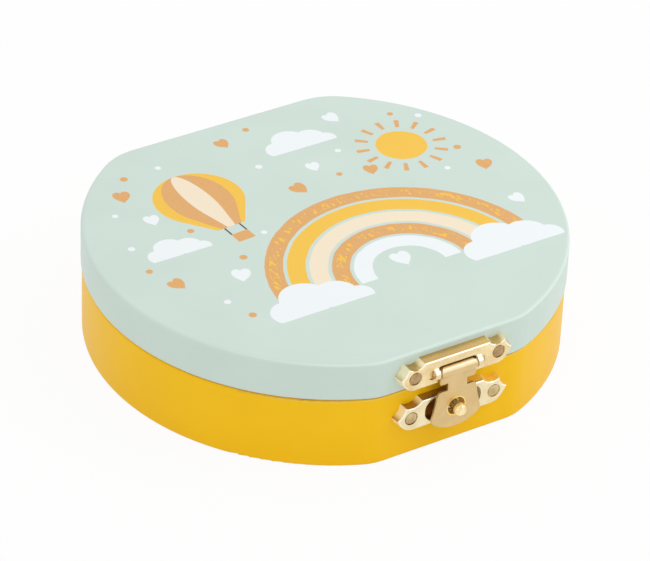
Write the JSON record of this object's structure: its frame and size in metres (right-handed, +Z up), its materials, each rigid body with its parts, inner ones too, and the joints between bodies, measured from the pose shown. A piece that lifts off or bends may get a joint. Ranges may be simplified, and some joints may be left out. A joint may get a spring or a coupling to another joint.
{
  "type": "baby tooth box",
  "caption": "Low round wooden keepsake box with flat front and back, hinged lid, brass hasp and stud in front, and a tray of tooth pockets inside.",
  "frame": {"origin": "on the underside, at the centre of the box's round outline", "axes": "+Z up through the lid, +Y to the hinges at the back, -Y to the hasp in front, +X to the right as seen from the front"},
  "size_m": [0.12, 0.1177, 0.03],
  "materials": {
    "mint_lacquer": "satin pale mint lacquer over fine board, with a printed picture on top",
    "yellow_lacquer": "satin warm yellow lacquer over fine board",
    "bare_board": "bare fine board, lightly sanded",
    "brass": "bright pale brass, pressed and barrel polished"
  },
  "bodies": {
    "base": {"base_rim": "yellow_lacquer", "base_floor": "bare_board", "tooth_tray": "bare_board", "clasp_lower_plate": "brass", "clasp_stud": "brass", "clasp_lower_nails": "brass", "hinge_left_base_leaf": "brass", "hinge_left_pin": "brass", "hinge_left_base_nails": "brass", "hinge_right_base_leaf": "brass", "hinge_right_pin": "brass", "hinge_right_base_nails": "brass"},
    "lid": {"lid_shell": "mint_lacquer", "clasp_upper_plate": "brass", "clasp_pin": "brass", "clasp_upper_nails": "brass", "hinge_left_lid_leaf": "brass", "hinge_left_lid_nails": "brass", "hinge_right_lid_leaf": "brass", "hinge_right_lid_nails": "brass"},
    "tongue": {"clasp_tongue": "brass"}
  },
  "joints": [
    {"name": "lid_hinge", "type": "hinge", "parent": "base", "child": "lid", "pos_m": [0, 0.05325, 0.01945], "axis": [-1, 0, 0], "range_deg": [0, 180]},
    {"name": "clasp_swing", "type": "hinge", "parent": "lid", "child": "tongue", "pos_m": [0, -0.0594, 0.02365], "axis": [-1, 0, 0], "range_deg": [0, 120]}
  ]
}
